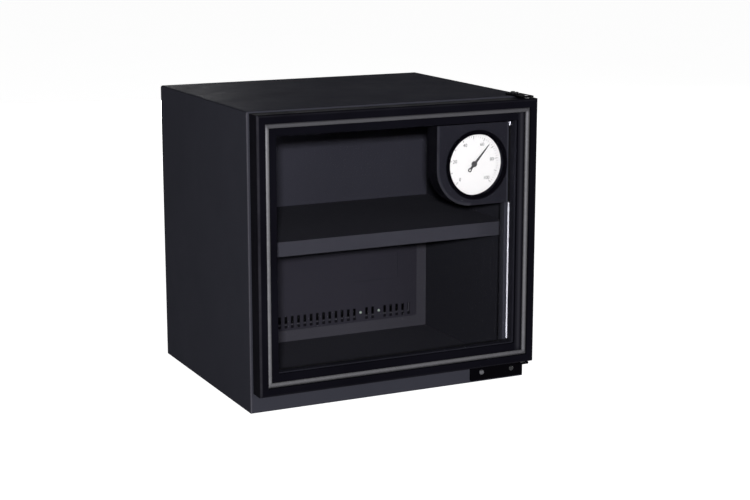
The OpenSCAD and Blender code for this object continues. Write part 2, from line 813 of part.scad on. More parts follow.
module hinge_plate_bottom() {
    x1 = door_x;
    x0 = x1 - bottom_plate_w;
    y1 = front_y;
    y0 = front_y - plate_t;
    tab_x = min(axis_x + plate_reach, door_x);
    tab_w = 2 * plate_reach + (door_x - tab_x);
    color([0.07, 0.07, 0.08]) difference() {
        union() {
            slab(y0, y1) rounded(x0, x1, tab_z1 - bottom_plate_h, tab_z1, plate_r / 2);
            translate([0, 0, tab_z1 - plate_t]) linear_extrude(height = plate_t) {
                rounded(axis_x - plate_reach, axis_x + plate_reach, axis_y - plate_reach, y1, plate_r);
                translate([axis_x - plate_reach, y0 - plate_r]) square([2 * plate_reach, plate_r + plate_t]);
            }
        }
        for (p = bottom_plate_screws()) rod_y(screw_r + screw_fit, p[0], y0 - cut, y1 + cut, p[1]);
        rod_z(pin_r + pin_fit, axis_x, axis_y, tab_z1 - plate_t - cut, tab_z1 + cut);
    }
}

// A hinge pin pointing up, its collar standing on the origin
module hinge_pin(collar_h, under) {
    rotate_extrude() polygon([[0, -under], [pin_r, -under], [pin_r, 0], [collar_r, 0], [collar_r, collar_h],
        [pin_r, collar_h], [pin_r, collar_h + collar_gap + bush_l - pin_r / 2],
        [pin_r / 2, collar_h + collar_gap + bush_l], [0, collar_h + collar_gap + bush_l]]);
}

module hinge_pin_top() {
    color([0.75, 0.75, 0.77]) translate([axis_x, axis_y, top_z]) mirror([0, 0, 1])
        hinge_pin(door_top_inset - collar_gap, plate_t);
}

module hinge_pin_bottom() {
    color([0.75, 0.75, 0.77]) translate([axis_x, axis_y, tab_z1]) hinge_pin(tab_gap - collar_gap, plate_t);
}

module hinge_screws() {
    color([0.55, 0.55, 0.57]) {
        for (p = bottom_plate_screws()) translate([p[0], front_y - plate_t, p[1]]) rotate([-90, 0, 0]) screw(screw_l);
        for (p = top_plate_screws()) translate([p[0], p[1], top_z + plate_t]) rotate([180, 0, 0]) screw(screw_l);
    }
}

// A bush with a flush lower end in its blind hole
module bush(z) {
    translate([axis_x, axis_y, z]) difference() {
        cylinder(r = bush_r - screw_fit / 2, h = bush_l);
        translate([0, 0, -cut]) cylinder(r = pin_r + pin_fit, h = bush_l + 2 * cut);
    }
}

module hinge_bush_bottom() {
    color([0.8, 0.8, 0.76]) bush(door_z0);
}

module hinge_bush_top() {
    color([0.8, 0.8, 0.76]) bush(door_z1 - bush_l);
}

// Hygrometer

// Outline of the housing, drawn in by the amount m; its lower left corner is round
module gauge_outline(m) {
    r = gauge_corner_r - m;
    x0 = gauge_x0 + m;
    x1 = gauge_x1 - m;
    z0 = gauge_z0 + m;
    z1 = gauge_z1 - m;
    translate([x0 + r, z0]) square([x1 - x0 - r, z1 - z0]);
    translate([x0, z0 + r]) square([x1 - x0, z1 - z0 - r]);
    translate([x0 + r, z0 + r]) circle(r = r);
}

module hygrometer_housing() {
    ring_y = gauge_y - bezel_h;
    color([0.06, 0.06, 0.07]) difference() {
        union() {
            slab(gauge_y, gauge_cup_y) gauge_outline(0);
            rod_y(dial_r + bezel_w, dial_x, ring_y, gauge_y + gauge_wall / 2, dial_z);
        }
        slab(window_y, gauge_cup_y + cut) gauge_outline(gauge_wall);
        rod_y(case_ring_r + seat_gap, dial_x, window_y, gauge_cup_y + cut, dial_z);
        rod_y(dial_r, dial_x, ring_y - cut, window_y + cut, dial_z);
        translate([dial_x, ring_y, dial_z]) rotate([-90, 0, 0]) translate([0, 0, -cut])
            cylinder(r1 = dial_r + dial_bevel + cut, r2 = dial_r - cut, h = dial_bevel + 2 * cut);
    }
}

// The round case, seen as a section from its axis outwards and from its window to its floor
module hygrometer_case() {
    seat_r = dial_r + window_grip + seat_gap;
    dial_seat_r = dial_r + window_grip / 2 + seat_gap;
    depth = gauge_cup_y - window_y;
    seat_y = window_t + dial_depth + dial_t;
    color([0.12, 0.12, 0.13]) translate([dial_x, window_y, dial_z]) rotate([-90, 0, 0]) rotate_extrude() difference() {
        square([case_ring_r, depth]);
        translate([0, -cut]) square([seat_r, window_t + cut]);
        translate([0, -cut]) square([dial_seat_r, seat_y + cut]);
        translate([0, -cut]) square([dial_r - window_grip, depth - gauge_step + cut]);
    }
}

module hygrometer_dial() {
    color([0.96, 0.96, 0.96]) difference() {
        rod_y(dial_r + window_grip / 2, dial_x, dial_y, dial_y + dial_t, dial_z);
        rod_y(spindle_hole_r, dial_x, dial_y - cut, dial_y + dial_t + cut, dial_z);
    }
}

module hygrometer_window() {
    color([0.9, 0.95, 0.95, 0.25]) rod_y(dial_r + window_grip, dial_x, window_y, window_y + window_t, dial_z);
}

module hygrometer_needle() {
    move_y = dial_y + dial_t;
    color([0.1, 0.1, 0.1]) translate([dial_x, 0, dial_z]) rotate([0, needle_rest, 0]) {
        slab(needle_y, needle_y + needle_t) difference() {
            union() {
                polygon([[-needle_w / 2, -tail_l], [needle_w / 2, -tail_l], [needle_w / 2, hub_r],
                    [needle_w / 9, needle_l], [-needle_w / 9, needle_l], [-needle_w / 2, hub_r]]);
                translate([0, -tail_l]) circle(r = tail_r);
            }
            translate([0, -tail_l]) circle(r = tail_r / 2);
        }
        rod_y(hub_r, 0, needle_y, needle_y + 2 * needle_t, 0);
        rod_y(spindle_r, 0, needle_y, move_y + movement_d() / 2, 0);
    }
}

function movement_d() = gauge_cup_y - gauge_step - dial_y - dial_t;

module hygrometer_movement() {
    r = dial_r / 2;
    color([0.7, 0.6, 0.35]) difference() {
        union() {
            rod_y(r, dial_x, dial_y + dial_t, dial_y + dial_t + movement_d(), dial_z);
        }
        rod_y(spindle_r + rod_fit, dial_x, dial_y + dial_t - cut, dial_y + dial_t + movement_d() * 0.8, dial_z);
    }
}

// Dry unit

function slot_x(i) = (i - (slot_n - 1) / 2) * slot_pitch;
function ear_screws() = [for (s = [-1, 1], q = ear_z_shares) [s * (case_w / 2 + ear_w / 2), case_z0 + q * case_h]];
function is_lamp(i) = len([for (k = lamp_slots) if (k == i) k]) > 0;
lamp_z = cover_z + slot_z + lamp_z_share * slot_h;

module dry_unit_cover() {
    x = cover_w / 2;
    z1 = cover_z + cover_h;
    color([0.17, 0.17, 0.19]) difference() {
        slab(cover_y, wall_y) rounded(-x, x, cover_z, z1, cover_r);
        slab(cover_y + cover_t, wall_y + cut) rounded(-x + cover_t, x - cover_t, cover_z + cover_t, z1 - cover_t, cover_r - cover_t);
        for (i = [0:slot_n - 1]) if (!is_lamp(i))
            block(slot_x(i) - slot_w / 2, slot_x(i) + slot_w / 2, cover_y - cut, cover_y + cover_t + cut,
                cover_z + slot_z, cover_z + slot_z + slot_h);
        for (i = lamp_slots) rod_y(lamp_r + screw_fit, slot_x(i), cover_y - cut, cover_y + cover_t + cut, lamp_z);
        block(x - panel_side - panel_w, x - panel_side, cover_y - cut, cover_y + panel_d,
            cover_z + panel_z, cover_z + panel_z + panel_h);
    }
}

// Two lamps with round heads, their collars behind the cover
module indicator_lamps() {
    color([0.2, 0.8, 0.3]) for (i = lamp_slots) translate([slot_x(i), cover_y, lamp_z]) rotate([-90, 0, 0])
        rotate_extrude() {
            intersection() {
                circle(r = lamp_r);
                translate([0, -lamp_r]) square([lamp_r, lamp_r]);
            }
            square([lamp_r, cover_t + lamp_r]);
            translate([0, cover_t]) square([lamp_r * 1.3, lamp_r]);
        }
}

module dry_unit_case() {
    x = case_w / 2;
    rod_hole = rod_r + rod_fit;
    color([0.3, 0.3, 0.32]) difference() {
        union() {
            difference() {
                block(-x, x, case_y0, case_y1, case_z0, case_z1);
                block(-case_in_x, case_in_x, case_y0 + case_t, case_y1 - case_t, case_z0 + case_t, case_z1 - case_t);
            }
            for (s = [-1, 1]) {
                block(min(s * x, s * (x + ear_w)), max(s * x, s * (x + ear_w)), wall_y - case_t, wall_y,
                    case_z0 + (ear_z_shares[0] - 0.1) * case_h, case_z0 + (ear_z_shares[1] + 0.1) * case_h);
                block(min(s * case_in_x, s * (case_in_x - ledge_w)), max(s * case_in_x, s * (case_in_x - ledge_w)),
                    cartridge_y, cartridge_y + cartridge_t + heater_t + seat_gap, cartridge_z - ledge_t, cartridge_z);
            }
        }
        block(-flap_x + flap_lap, flap_x - flap_lap, case_y0 - cut, case_y0 + case_t + cut, inner_port_z0, inner_port_z1);
        block(-flap_x + flap_lap, flap_x - flap_lap, case_y1 - case_t - cut, case_y1 + cut, outer_port_z0, outer_port_z1);
        rod_x(rod_hole, -x - cut, x + cut, inner_rod_y, inner_rod_z);
        rod_x(rod_hole, -x - cut, x + cut, outer_rod_y, outer_rod_z);
        for (p = ear_screws()) rod_y(screw_r + screw_fit, p[0], wall_y - case_t - cut, wall_y + cut, p[1]);
    }
}

module dry_unit_screws() {
    color([0.6, 0.6, 0.62]) for (p = ear_screws()) translate([p[0], wall_y - case_t, p[1]]) rotate([-90, 0, 0]) screw(screw_l);
}

// A shutter flap that hangs from its pivot rod, with its closed face turned to -Y
module shutter() {
    rod_x(rod_r, -rod_x, rod_x, 0, 0);
    block(-flap_x, flap_x, -rod_r, -rod_r + flap_t, -flap_h + rod_r, 0);
}

module inner_shutter() {
    color([0.85, 0.85, 0.8]) translate([0, inner_rod_y, inner_rod_z]) rotate([shutter_open, 0, 0]) shutter();
}

module outer_shutter() {
    color([0.85, 0.85, 0.8]) translate([0, outer_rod_y, outer_rod_z]) mirror([0, 1, 0]) shutter();
}

// Inner size of the cartridge
cartridge_x = case_in_x - seat_gap;
cartridge_wall = 1.2;
vent_w = 3;
vent_pitch = 7;

module desiccant_cartridge() {
    z1 = cartridge_z + cartridge_h;
    w = cartridge_wall;
    n = floor((2 * cartridge_x - 2 * vent_pitch) / vent_pitch);
    color([0.9, 0.9, 0.88]) difference() {
        block(-cartridge_x, cartridge_x, cartridge_y, cartridge_y + cartridge_t, cartridge_z, z1);
        block(-cartridge_x + w, cartridge_x - w, cartridge_y + w, cartridge_y + cartridge_t - w, cartridge_z + w, z1 - w);
        for (i = [0:n]) translate([(i - n / 2) * vent_pitch, 0, 0])
            block(-vent_w / 2, vent_w / 2, cartridge_y - cut, cartridge_y + w + cut, cartridge_z + vent_pitch, z1 - vent_pitch);
    }
}

module desiccant_granules() {
    m = cartridge_wall + seat_gap;
    color([0.85, 0.8, 0.65]) block(-cartridge_x + m, cartridge_x - m, cartridge_y + m, cartridge_y + cartridge_t - m,
        cartridge_z + m, cartridge_z + cartridge_h - 2 * m);
}

module heater_plate() {
    y = cartridge_y + cartridge_t + seat_gap;
    color([0.75, 0.75, 0.75]) block(-cartridge_x, cartridge_x, y, y + heater_t, cartridge_z, cartridge_z + cartridge_h);
}

// Electrics behind the inner back wall

function board_posts() = [for (x = [board_x + board_inset, board_x + board_w - board_inset],
    z = [board_z + board_inset, board_z + board_h - board_inset]) [x, z]];

plug_z = board_z + board_inset + 2 * board_post_r;
plug_y = board_y + board_t;

module circuit_board() {
    relay_w = 16;
    relay_d = 12;
    relay_h = 12;
    cap_r = 5;
    cap_l = 12;
    color([0.1, 0.35, 0.2]) {
        block(board_x, board_x + board_w, board_y, board_y + board_t, board_z, board_z + board_h);
        block(inlet_x - plug_w / 2, inlet_x + plug_w / 2, plug_y, plug_y + plug_d, plug_z, plug_z + plug_h);
        translate([board_x + board_w / 2, 0, board_z + board_h / 2])
            block(-relay_w / 2, relay_w / 2, plug_y, plug_y + relay_d, 0, relay_h);
        rod_y(cap_r, board_x + board_w / 4, plug_y, plug_y + cap_l, board_z + board_h / 3);
    }
}

// Two wires from the inlet, bent up to the plug on the board
module supply_wires() {
    y0 = inlet_y;
    z0 = base_z + inlet_z;
    y_up = min(y0 - wire_bend_r, plug_y + plug_d / 2);
    color([0.6, 0.1, 0.1]) for (s = [-1, 1]) translate([inlet_x + s * wire_pitch / 2, 0, 0]) {
        rod_y(wire_r, 0, y_up + wire_bend_r, y0, z0);
        translate([0, y_up + wire_bend_r, z0 + wire_bend_r]) rotate([90, 0, 90]) rotate([0, 0, 180])
            rotate_extrude(angle = 90) translate([wire_bend_r, 0]) circle(r = wire_r);
        rod_z(wire_r, 0, y_up, z0 + wire_bend_r, plug_z);
    }
}

module power_inlet() {
    z = base_z + inlet_z;
    y1 = rear_y + nut_t;
    color([0.1, 0.1, 0.1]) {
        difference() {
            union() {
                rod_y(inlet_r, inlet_x, inlet_y, y1, z);
                rod_y(inlet_r + nut_t, inlet_x, rear_y - sheet_t - nut_t, rear_y - sheet_t, z);
            }
            rod_y(inlet_bore_r, inlet_x, y1 - inlet_bore_d, y1 + cut, z);
        }
        rod_y(inlet_pin_r, inlet_x, y1 - inlet_bore_d - cut, y1 - nut_t, z);
    }
}

module inlet_nut() {
    z = base_z + inlet_z;
    color([0.7, 0.7, 0.72]) difference() {
        rod_y(nut_r, inlet_x, rear_y, rear_y + nut_t, z);
        rod_y(inlet_r + screw_fit, inlet_x, rear_y - cut, rear_y + nut_t + cut, z);
    }
}

function grille_lap() = 2 * grille_proud;
function grille_z() = (outer_port_z0 + outer_port_z1) / 2 - grille_h / 2;

// A flanged grille that sits in its window in the back panel
module rear_vent_grille() {
    in_w = grille_w - 2 * grille_lap() - 2 * seat_gap;
    in_h = grille_h - 2 * grille_lap() - 2 * seat_gap;
    cz = grille_z() + grille_h / 2;
    slot_l = (in_w - (grille_cols + 1) * grille_slot_h) / grille_cols;
    row = in_h / grille_rows;
    color([0.1, 0.1, 0.11]) difference() {
        union() {
            slab(rear_y, rear_y + grille_proud) rounded(-grille_w / 2, grille_w / 2, grille_z(), grille_z() + grille_h, grille_proud);
            block(-in_w / 2, in_w / 2, rear_y - sheet_t, rear_y, cz - in_h / 2, cz + in_h / 2);
        }
        for (c = [0:grille_cols - 1], r = [0:grille_rows - 1])
            translate([-in_w / 2 + grille_slot_h + c * (slot_l + grille_slot_h), 0, cz - in_h / 2 + (r + 0.5) * row])
                block(0, slot_l, rear_y - sheet_t - cut, rear_y + grille_proud + cut, -grille_slot_h / 2, grille_slot_h / 2);
    }
}

outer_shell();
front_frame();
base_panel();
inner_back_panel();
back_panel();
back_panel_screws();
shelf();
shelf_rail_left();
shelf_rail_right();
foot_front_left();
foot_front_right();
foot_back_left();
foot_back_right();
foot_screws();
hinge_plate_top();
hinge_plate_bottom();
hinge_pin_top();
hinge_pin_bottom();
hinge_screws();
hinge_bush_top();
hinge_bush_bottom();
door_stile_left();
door_stile_right();
door_rail_top();
door_rail_bottom();
door_trim();
door_glass();
glazing_bead();
door_gasket();
gasket_magnets();
hygrometer_housing();
hygrometer_case();
hygrometer_dial();
hygrometer_window();
hygrometer_needle();
hygrometer_movement();
dry_unit_cover();
indicator_lamps();
dry_unit_case();
dry_unit_screws();
inner_shutter();
outer_shutter();
desiccant_cartridge();
desiccant_granules();
heater_plate();
circuit_board();
supply_wires();
power_inlet();
inlet_nut();
rear_vent_grille();
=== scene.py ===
import json
import math

import bmesh
import bpy
from mathutils import Matrix, Vector


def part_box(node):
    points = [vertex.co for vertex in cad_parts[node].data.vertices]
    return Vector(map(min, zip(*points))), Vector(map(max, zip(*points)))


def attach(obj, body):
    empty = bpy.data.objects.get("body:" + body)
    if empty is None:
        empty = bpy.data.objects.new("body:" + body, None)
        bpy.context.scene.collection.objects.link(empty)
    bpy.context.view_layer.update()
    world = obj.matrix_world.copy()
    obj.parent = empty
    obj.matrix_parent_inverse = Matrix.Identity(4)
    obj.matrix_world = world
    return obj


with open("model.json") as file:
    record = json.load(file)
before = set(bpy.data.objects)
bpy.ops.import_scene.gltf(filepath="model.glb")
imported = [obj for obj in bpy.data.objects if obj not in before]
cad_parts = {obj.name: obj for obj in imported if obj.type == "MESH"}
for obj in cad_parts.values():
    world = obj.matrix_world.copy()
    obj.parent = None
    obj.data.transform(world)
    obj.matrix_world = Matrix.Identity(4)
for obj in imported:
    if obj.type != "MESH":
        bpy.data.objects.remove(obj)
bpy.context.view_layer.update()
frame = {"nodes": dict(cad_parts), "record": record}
nodes = frame["nodes"]
scene = bpy.context.scene
scene.view_settings.view_transform = "Standard"

MM = 0.001

# Soft limits that the materials use, in metres along one axis of the CAD frame:
# each is the place where a mask is 0 and the place where it is 1.
WRAP_INSIDE_X = (0.1647, 0.1643)
WRAP_INSIDE_Z = (0.3197, 0.3193)
WRAP_BEHIND_FRONT_Y = (-0.118, -0.112)
WRAP_BEFORE_BACK_Y = (0.1405, 0.1395)
WRAP_FRONT_EDGE_X = (0.1632, 0.1642)
WRAP_FRONT_EDGE_Y = (-0.1188, -0.1196)
WALL_UNDER_SHELF_Z = (0.172, 0.160)
DOOR_SIDE_EDGE_X = (0.1612, 0.1624)
DOOR_SIDE_EDGE_Y = (-0.1432, -0.1440)
DOOR_MIDDLE_Z = 0.172
DOOR_END_EDGE_Z = (0.1444, 0.1454)  # from DOOR_MIDDLE_Z
DOOR_END_EDGE_Y = (-0.1442, -0.1450)
TRIM_TOP_Z = (0.303, 0.307)
TRIM_BOTTOM_Z = (0.041, 0.037)
HINGE_SIDE_X = (0.13, 0.14)
UPPER_SCREWS_Z = (0.15, 0.20)

# The lip of the door between the glass and the trim, at the hinge side, where its painted sheen lies; x
# from its edge at the glass.
LIP_START_X = (0.0, 0.0008)
LIP_END_X = (0.0080, 0.0066)
LIP_BOTTOM_Z = (0.036, 0.044)
LIP_TOP_Z = (0.309, 0.302)
CROWN_START_X = (0.0018, 0.0040)
CROWN_END_X = (0.0068, 0.0050)

# The plate of the hygrometer: lengths from its outline, its front and the middle of the dial.
PLATE_CORNER_R = 0.042
PLATE_FACE_DEPTH = (0.0030, 0.0024)
PLATE_HIGHLIGHT_INSET = (0.0034, 0.0022)
PLATE_RING_R = (0.0384, 0.0380)

# Depths of the bumps.
POWDER_DEPTH = 0.00012
MOULDED_DEPTH = 0.00006


# Materials -------------------------------------------------------------------


class Mat:
    """A node material with Principled BSDF at its end."""

    def __init__(self, name):
        self.mat = bpy.data.materials.new(name)
        self.mat.use_nodes = True
        self.nt = self.mat.node_tree
        self.nt.nodes.clear()
        self.out = self.nt.nodes.new("ShaderNodeOutputMaterial")
        self.bsdf = self.nt.nodes.new("ShaderNodeBsdfPrincipled")
        self.link(self.bsdf.outputs[0], self.out.inputs[0])
        self.coords = self.node("ShaderNodeTexCoord").outputs["Object"]

    def node(self, kind, **values):
        n = self.nt.nodes.new(kind)
        for k, v in values.items():
            setattr(n, k, v)
        return n

    def link(self, a, b):
        self.nt.links.new(a, b)

    def stretched(self, x, y, z):
        """Object coordinates times x, y and z."""
        m = self.node("ShaderNodeMapping")
        m.inputs["Scale"].default_value = (x, y, z)
        self.link(self.coords, m.inputs[0])
        return m.outputs[0]

    def noise(self, scale, detail=3, rough=0.5, where=None):
        n = self.node("ShaderNodeTexNoise")
        n.inputs["Scale"].default_value = scale
        n.inputs["Detail"].default_value = detail
        n.inputs["Roughness"].default_value = rough
        self.link(where or self.coords, n.inputs["Vector"])
        return n.outputs["Fac"]

    def ramp(self, fac, low, high, a=0.3, b=0.7):
        """From value or colour low to high, as fac goes from a to b."""
        n = self.node("ShaderNodeValToRGB")
        e = n.color_ramp.elements
        e[0].position, e[1].position = a, b
        for i, v in ((0, low), (1, high)):
            e[i].color = (*v, 1) if isinstance(v, tuple) else (v, v, v, 1)
        self.link(fac, n.inputs[0])
        return n.outputs[0]

    def mix(self, fac, a, b):
        """Colour a where fac is 0, colour b where it is 1."""
        n = self.node("ShaderNodeMix", data_type="RGBA", blend_type="MIX")
        for sock, v in ((n.inputs[0], fac), (n.inputs[6], a), (n.inputs[7], b)):
            if isinstance(v, bpy.types.NodeSocket):
                self.link(v, sock)
            else:
                sock.default_value = (*v, 1)
        return n.outputs[2]

    def math(self, kind, a, b=None):
        n = self.node("ShaderNodeMath", operation=kind)
        for sock, v in zip(n.inputs, (a, b)):
            if isinstance(v, bpy.types.NodeSocket):
                self.link(v, sock)
            elif v is not None:
                sock.default_value = v
        return n.outputs[0]

    def times(self, product, *others):
        """The product of two or more values."""
        for other in others:
            product = self.math("MULTIPLY", product, other)
        return product

    def places(self):
        """The three coordinates in the object's own frame, in metres."""
        n = self.node("ShaderNodeSeparateXYZ")
        self.link(self.coords, n.inputs[0])
        return n.outputs

    def step(self, value, a, b):
        """0 before a, 1 beyond b, and even in between; a may be the larger one."""
        n = self.node("ShaderNodeMapRange")
        n.inputs["From Min"].default_value = a
        n.inputs["From Max"].default_value = b
        self.link(value, n.inputs["Value"])
        return n.outputs[0]

    def band(self, value, start, end):
        """1 between two soft limits."""
        return self.times(self.step(value, *start), self.step(value, *end))

    def colour(self, v):
        self.link(v, self.bsdf.inputs["Base Color"])

    def rough(self, v):
        self.link(v, self.bsdf.inputs["Roughness"])

    def bump(self, height, strength, distance, under=None):
        n = self.node("ShaderNodeBump")
        n.inputs["Strength"].default_value = strength
        n.inputs["Distance"].default_value = distance
        self.link(height, n.inputs["Height"])
        if under is not None:
            self.link(under, n.inputs["Normal"])
        self.link(n.outputs[0], self.bsdf.inputs["Normal"])
        return n.outputs[0]

    def set(self, **values):
        for k, v in values.items():
            self.bsdf.inputs[k.replace("_", " ")].default_value = v


def powder_coat(name, dark, light, rough=(0.5, 0.64), edge=None):
    """Fine orange-peel powder coat with faint smudges.

    With an edge colour: a painted highlight in that colour along the front edges of the wrap, and painted
    shade inside the wrap.
    """
    m = Mat(name)
    paint = m.ramp(m.noise(9, 4, 0.6), dark, light, 0.3, 0.75)
    if edge:
        x, y, z = m.places()
        across = m.math("ABSOLUTE", x)
        deep = m.band(y, WRAP_BEHIND_FRONT_Y, WRAP_BEFORE_BACK_Y)
        # painted shade: the inside of the wrap is darker
        inside = m.times(m.step(across, *WRAP_INSIDE_X), deep, m.step(z, *WRAP_INSIDE_Z))
        paint = m.mix(inside, paint, tuple(c * 0.66 for c in dark))
        # painted highlight along the front edges of the wrap, broken up by noise
        front = m.times(m.step(y, *WRAP_FRONT_EDGE_Y), m.step(across, *WRAP_FRONT_EDGE_X))
        painted_highlight = m.times(front, m.ramp(m.noise(70, 4, 0.7), 0.6, 1.0))
        paint = m.mix(painted_highlight, paint, edge)
    m.colour(paint)
    m.rough(m.ramp(m.noise(30, 5, 0.65), rough[0], rough[1], 0.35, 0.7))
    fine = m.bump(m.noise(900, 2, 0.5), 0.25, POWDER_DEPTH)
    m.bump(m.noise(180, 2, 0.4), 0.12, 0.0003, fine)
    m.set(Specular_IOR_Level=0.0005)
    return m.mat


def moulded(name, dark, light, rough, specular=0.001, grain=2200, strength=0.2):
    """Moulded or extruded plastic with a very fine grain."""
    m = Mat(name)
    m.colour(m.ramp(m.noise(14, 3), dark, light, 0.35, 0.7))
    m.rough(m.ramp(m.noise(45, 4, 0.6), rough[0], rough[1], 0.35, 0.7))
    m.bump(m.noise(grain, 2), strength, MOULDED_DEPTH)
    m.set(Specular_IOR_Level=specular)
    return m.mat


def brushed(name, dark, light, rough, stretch, scale=160):
    """Metal with fine lines; stretch is the scale along each axis, larger across the lines."""
    m = Mat(name)
    lines = m.noise(scale, 3, 0.6, m.stretched(*stretch))
    m.colour(m.ramp(lines, dark, light))
    m.rough(m.ramp(lines, rough[0], rough[1]))
    m.bump(lines, 0.1, 0.00005)
    m.set(Metallic=1.0)
    return m.mat


def trim_material():
    """Satin foil on the trim, with painted shade making it a little darker at the hinge side, the top and
    the bottom.
    """
    m = Mat("silver_trim")
    fine = m.noise(220, 3, 0.6)
    foil = m.ramp(fine, (0.118, 0.117, 0.127), (0.150, 0.149, 0.159))
    # colour of the painted shade on the foil
    shaded_foil = (0.062, 0.061, 0.068)
    x, y, z = m.places()
    foil = m.mix(m.times(m.step(x, *HINGE_SIDE_X), 0.3), foil, shaded_foil)
    ends = m.math("MAXIMUM", m.step(z, *TRIM_TOP_Z), m.times(m.step(z, *TRIM_BOTTOM_Z), 0.6))
    m.colour(m.mix(ends, foil, shaded_foil))
    m.rough(m.ramp(m.noise(60, 4), 0.40, 0.52))
    m.bump(fine, 0.06, 0.00004)
    m.set(Metallic=0.5, Specular_IOR_Level=0.05)
    return m.mat


def wall_material():
    """Painted inner back wall, with painted light under the shelf, painted shade above it, and painted
    shade where the dry unit's cover hides it.
    """
    m = Mat("wall_paint")
    cloud = m.noise(9, 4, 0.6)
    upper = m.ramp(cloud, (0.032, 0.032, 0.043), (0.036, 0.036, 0.048), 0.3, 0.75)
    lower = m.ramp(cloud, (0.047, 0.046, 0.057), (0.052, 0.051, 0.063), 0.3, 0.75)
    x, y, z = m.places()
    # painted light and shade: paler under the shelf, darker above it
    paint = m.mix(m.step(z, *WALL_UNDER_SHELF_Z), upper, lower)
    low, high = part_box("dry_unit_cover")
    edge = 2 * MM
    # painted shade on the wall behind the dry unit's cover, seen through its slots
    shade_behind_cover = m.times(
        m.step(m.math("ABSOLUTE", x), high[0] - edge, high[0] - 2 * edge),
        m.step(z, low[2] + edge, low[2] + 2 * edge),
        m.step(z, high[2] - edge, high[2] - 2 * edge),
    )
    m.colour(m.mix(shade_behind_cover, paint, (0.0015, 0.0015, 0.0020)))
    m.rough(m.ramp(m.noise(30, 5, 0.65), 0.55, 0.7, 0.35, 0.7))
    m.bump(m.noise(900, 2, 0.5), 0.25, POWDER_DEPTH)
    m.set(Specular_IOR_Level=0.0005)
    return m.mat


def rubber_material(name, base, rough, specular):
    m = Mat(name)
    m.colour(m.ramp(m.noise(60, 3), base, tuple(c * 1.35 for c in base)))
    m.rough(m.ramp(m.noise(200, 3), rough, rough + 0.12))
    m.bump(m.noise(1500, 2), 0.2, 0.00008)
    m.set(Specular_IOR_Level=specular)
    return m.mat


def glass_material(name, tint, gloss):
    """Thin clear sheet: light goes straight through, with a faint gloss that grows at grazing angles."""
    m = Mat(name)
    m.nt.nodes.remove(m.bsdf)
    clear = m.node("ShaderNodeBsdfTransparent")
    clear.inputs[0].default_value = (*tint, 1)
    shine = m.node("ShaderNodeBsdfGlossy")
    shine.inputs["Color"].default_value = (0.9, 0.93, 0.95, 1)
    m.link(m.ramp(m.noise(25, 4, 0.6), 0.01, 0.05, 0.4, 0.7), shine.inputs["Roughness"])
    edge = m.node("ShaderNodeLayerWeight")
    edge.inputs["Blend"].default_value = 0.12
    level = m.ramp(m.noise(18, 4, 0.7), gloss * 0.8, gloss, 0.35, 0.65)
    mixed = m.node("ShaderNodeMixShader")
    m.link(m.times(edge.outputs["Fresnel"], level), mixed.inputs[0])
    m.link(clear.outputs[0], mixed.inputs[1])
    m.link(shine.outputs[0], mixed.inputs[2])
    m.link(mixed.outputs[0], m.out.inputs[0])
    return m.mat


def dial_material():
    m = Mat("dial_white")
    m.colour(m.ramp(m.noise(120, 3), (0.94, 0.94, 0.93), (0.97, 0.97, 0.96)))
    m.rough(m.ramp(m.noise(300, 2), 0.5, 0.6))
    m.bump(m.noise(2500, 2), 0.1, 0.00003)
    m.set(Specular_IOR_Level=0.25)
    return m.mat


def ink_material():
    """Printed ink, paler in places."""
    m = Mat("ink_black")
    m.colour(m.ramp(m.noise(900, 3), (0.11, 0.11, 0.115), (0.175, 0.175, 0.1825), 0.35, 0.65))
    m.rough(m.ramp(m.noise(700, 2), 0.5, 0.65))
    m.set(Specular_IOR_Level=0.15)
    return m.mat


def lamp_material():
    """Translucent lens of an indicator lamp, unlit."""
    m = Mat("lamp")
    m.colour(m.ramp(m.noise(700, 2), (0.30, 0.36, 0.32), (0.42, 0.5, 0.44)))
    m.rough(m.ramp(m.noise(500, 2), 0.12, 0.2))
    m.set(Specular_IOR_Level=0.6)
    return m.mat


def door_frame_material():
    """Black frame, a little paler along its rounded outer edge as a painted highlight.

    The lip between the trim and the glass has a painted sheen at the hinge side, brightest near its middle.
    """
    m = Mat("door_frame")
    black = m.ramp(m.noise(14, 3), (0.0038, 0.0036, 0.0058), (0.0052, 0.0050, 0.0080), 0.35, 0.7)
    x, y, z = m.places()
    # painted highlight along the rounded outer edges at the sides and, fainter, at the ends
    side = m.times(m.step(m.math("ABSOLUTE", x), *DOOR_SIDE_EDGE_X), m.step(y, *DOOR_SIDE_EDGE_Y))
    from_middle = m.math("ABSOLUTE", m.math("SUBTRACT", z, DOOR_MIDDLE_Z))
    ends = m.times(m.step(from_middle, *DOOR_END_EDGE_Z), m.step(y, *DOOR_END_EDGE_Y))
    patchy = m.ramp(m.noise(24, 4, 0.7), 0.45, 1.0, 0.35, 0.65)
    painted_edge_highlight = m.times(m.math("MAXIMUM", side, m.times(ends, 0.3)), patchy)
    black = m.mix(painted_edge_highlight, black, (0.030, 0.029, 0.036))

    # painted sheen on the lip at the hinge side, brightest over its crown
    from_glass = m.math("SUBTRACT", x, LIP_X)
    lip = m.times(m.band(from_glass, LIP_START_X, LIP_END_X), m.band(z, LIP_BOTTOM_Z, LIP_TOP_Z))
    crown = m.band(from_glass, CROWN_START_X, CROWN_END_X)
    painted_lip_sheen = m.mix(crown, (0.0100, 0.0098, 0.0135), (0.0235, 0.0230, 0.0290))
    m.colour(m.mix(lip, black, painted_lip_sheen))
    m.rough(m.ramp(m.noise(45, 4, 0.6), 0.34, 0.46, 0.35, 0.7))
    m.bump(m.noise(2200, 2), 0.2, MOULDED_DEPTH)
    m.set(Specular_IOR_Level=0.001)
    return m.mat


